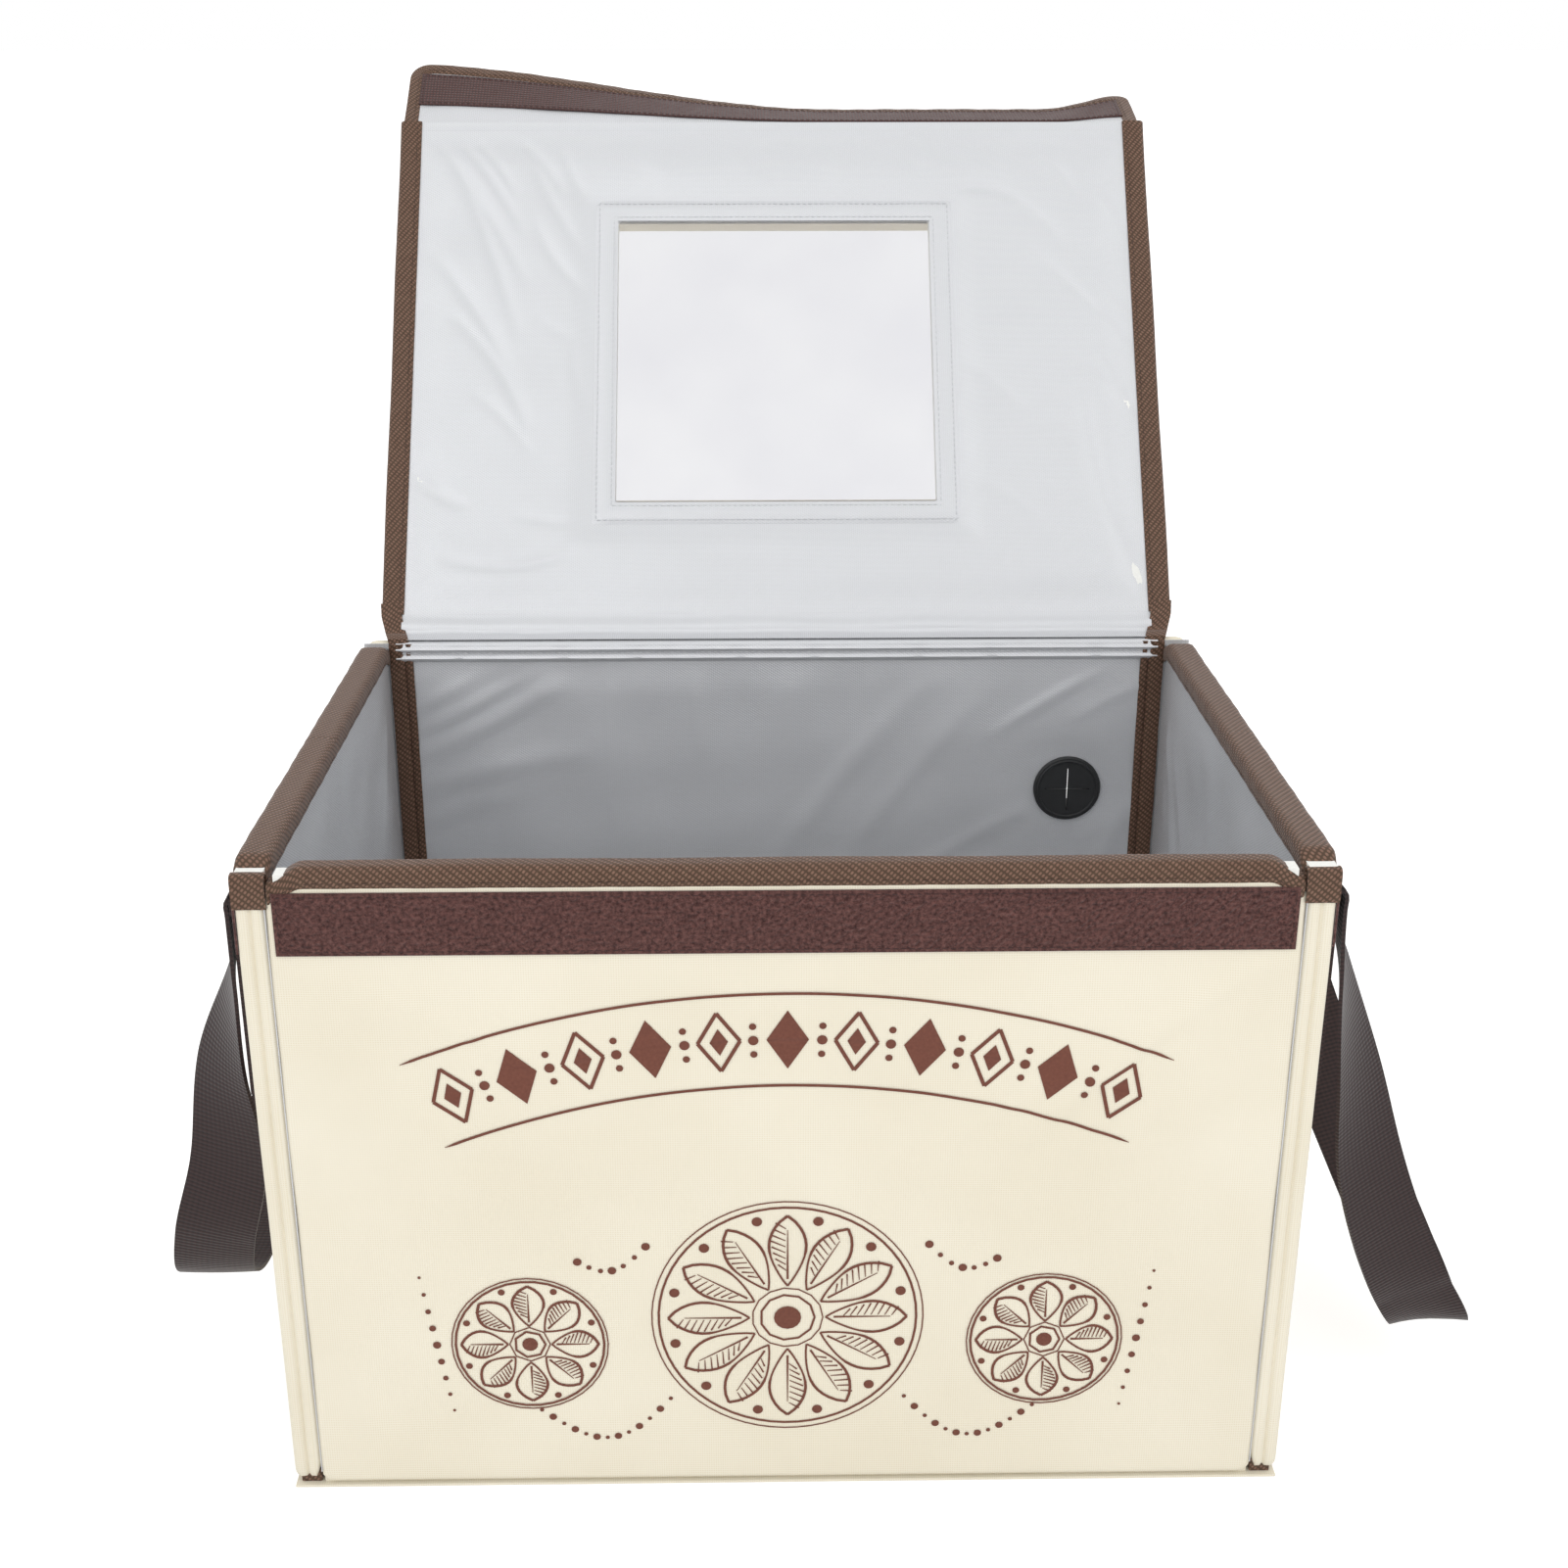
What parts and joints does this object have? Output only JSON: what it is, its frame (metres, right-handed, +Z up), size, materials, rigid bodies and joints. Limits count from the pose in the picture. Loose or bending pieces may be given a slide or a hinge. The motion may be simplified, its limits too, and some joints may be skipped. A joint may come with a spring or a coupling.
{
  "type": "folding dough proofer",
  "caption": "Insulated fabric box with a clear-windowed lid that folds flat, for keeping rising dough warm over a heating mat.",
  "frame": {"origin": "centre of the base, on the surface that it stands on", "axes": "+X towards the user's right, +Y towards the back, where the lid is hinged, +Z up"},
  "size_m": [0.654, 0.5985, 0.6301],
  "materials": {
    "cover_fabric": "matte woven polyester",
    "lining_film": "satin metallised woven lining",
    "binding_tape": "matte twill tape",
    "loop_tape": "matte loop pile",
    "hook_tape": "matte moulded hooks",
    "webbing": "matte webbing",
    "foam_board": "matte foam",
    "window_film": "gloss clear film",
    "floor_board": "satin",
    "heating_mat": "matte",
    "gland_plastic": "matte",
    "grommet_rubber": "satin rubber"
  },
  "bodies": {
    "back_wall": {"base_fabric": "cover_fabric", "base_side_bindings": "binding_tape", "base_end_hems": "cover_fabric", "back_cover": "cover_fabric", "back_board": "foam_board", "back_lining": "lining_film", "back_corner_tapes": "binding_tape", "back_top_seam": "lining_film", "cable_grommet": "grommet_rubber"},
    "lid": {"lid_cover": "cover_fabric", "lid_board": "foam_board", "lid_lining": "lining_film", "lid_window": "window_film", "window_trim": "lining_film", "lid_hinge_strip": "lining_film", "lid_left_binding": "binding_tape", "lid_right_binding": "binding_tape"},
    "front_flap": {"front_flap": "cover_fabric", "front_flap_hook_tape": "hook_tape", "front_flap_binding": "binding_tape"},
    "left_flap": {"left_flap": "cover_fabric", "left_flap_hook_tape": "hook_tape", "left_flap_binding": "binding_tape"},
    "right_flap": {"right_flap": "cover_fabric", "right_flap_hook_tape": "hook_tape", "right_flap_binding": "binding_tape"},
    "front_wall": {"front_cover": "cover_fabric", "front_board": "foam_board", "front_lining": "lining_film", "front_rim_binding": "binding_tape", "front_loop_tape": "loop_tape"},
    "base_board": {"base_board": "floor_board", "heating_mat": "heating_mat", "mat_lead_gland": "gland_plastic"},
    "left_handle": {"left_handle": "webbing"},
    "right_handle": {"right_handle": "webbing"},
    "left_front_side": {"left_front_cover": "cover_fabric", "left_front_board": "foam_board", "left_front_lining": "lining_film", "left_front_rim_binding": "binding_tape", "left_front_loop_tape": "loop_tape", "left_handle_front_tab": "webbing"},
    "left_rear_side": {"left_rear_cover": "cover_fabric", "left_rear_board": "foam_board", "left_rear_lining": "lining_film", "left_rear_rim_binding": "binding_tape", "left_rear_loop_tape": "loop_tape", "left_handle_rear_tab": "webbing"},
    "right_front_side": {"right_front_cover": "cover_fabric", "right_front_board": "foam_board", "right_front_lining": "lining_film", "right_front_rim_binding": "binding_tape", "right_front_loop_tape": "loop_tape", "right_handle_front_tab": "webbing"},
    "right_rear_side": {"right_rear_cover": "cover_fabric", "right_rear_board": "foam_board", "right_rear_lining": "lining_film", "right_rear_rim_binding": "binding_tape", "right_rear_loop_tape": "loop_tape", "right_handle_rear_tab": "webbing"}
  },
  "joints": [
    {"name": "lid_hinge", "type": "hinge", "parent": "back_wall", "child": "lid", "pos_m": [0, 0.168, 0.3305], "axis": [-1, 0, 0], "range_deg": [-125, 85]},
    {"name": "front_flap_hinge", "type": "hinge", "parent": "lid", "child": "front_flap", "pos_m": [0, 0.37115, 0.60075], "axis": [-1, 0, 0], "range_deg": [-118, 112]},
    {"name": "left_flap_hinge", "type": "hinge", "parent": "lid", "child": "left_flap", "pos_m": [-0.2327, 0.27452, 0.461], "axis": [0, -0.5736, -0.8192], "range_deg": [-165, 15]},
    {"name": "right_flap_hinge", "type": "hinge", "parent": "lid", "child": "right_flap", "pos_m": [0.2327, 0.27452, 0.461], "axis": [0, 0.5736, 0.8192], "range_deg": [-165, 15]},
    {"name": "left_rear_fold", "type": "hinge", "parent": "back_wall", "child": "left_rear_side", "pos_m": [-0.2248, 0.1473, 0.17], "axis": [0, 0, 1], "range_deg": [0, 84]},
    {"name": "left_crease", "type": "hinge", "parent": "left_rear_side", "child": "left_front_side", "pos_m": [-0.2412, -0.0045, 0.17], "axis": [0, 0, -1], "range_deg": [0, 168], "deforming": ["left_handle"]},
    {"name": "front_left_corner", "type": "hinge", "parent": "left_front_side", "child": "front_wall", "pos_m": [-0.2248, -0.1563, 0.17], "axis": [0, 0, 1], "range_deg": [0, 84]},
    {"name": "right_rear_fold", "type": "hinge", "parent": "back_wall", "child": "right_rear_side", "pos_m": [0.2248, 0.1473, 0.17], "axis": [0, 0, -1], "range_deg": [0, 84]},
    {"name": "right_crease", "type": "hinge", "parent": "right_rear_side", "child": "right_front_side", "pos_m": [0.2412, -0.0045, 0.17], "axis": [0, 0, 1], "range_deg": [0, 168], "deforming": ["right_handle"]},
    {"name": "base_lift", "type": "hinge", "parent": "back_wall", "child": "base_board", "pos_m": [0, 0.1479, 0.0015], "axis": [-1, 0, 0], "range_deg": [0, 90]},
    {"name": "left_handle_swing", "type": "hinge", "parent": "left_front_side", "child": "left_handle", "pos_m": [-0.2454, -0.1415, 0.308], "axis": [0, 1, 0], "range_deg": [0, 150]},
    {"name": "right_handle_swing", "type": "hinge", "parent": "right_front_side", "child": "right_handle", "pos_m": [0.2454, -0.1415, 0.308], "axis": [0, -1, 0], "range_deg": [0, 150]}
  ],
  "couplings": [
    {"joint": "left_crease", "follows": "left_rear_fold", "ratio": 2},
    {"joint": "front_left_corner", "follows": "left_rear_fold", "ratio": 1},
    {"joint": "right_rear_fold", "follows": "left_rear_fold", "ratio": 1},
    {"joint": "right_crease", "follows": "left_rear_fold", "ratio": 2}
  ]
}
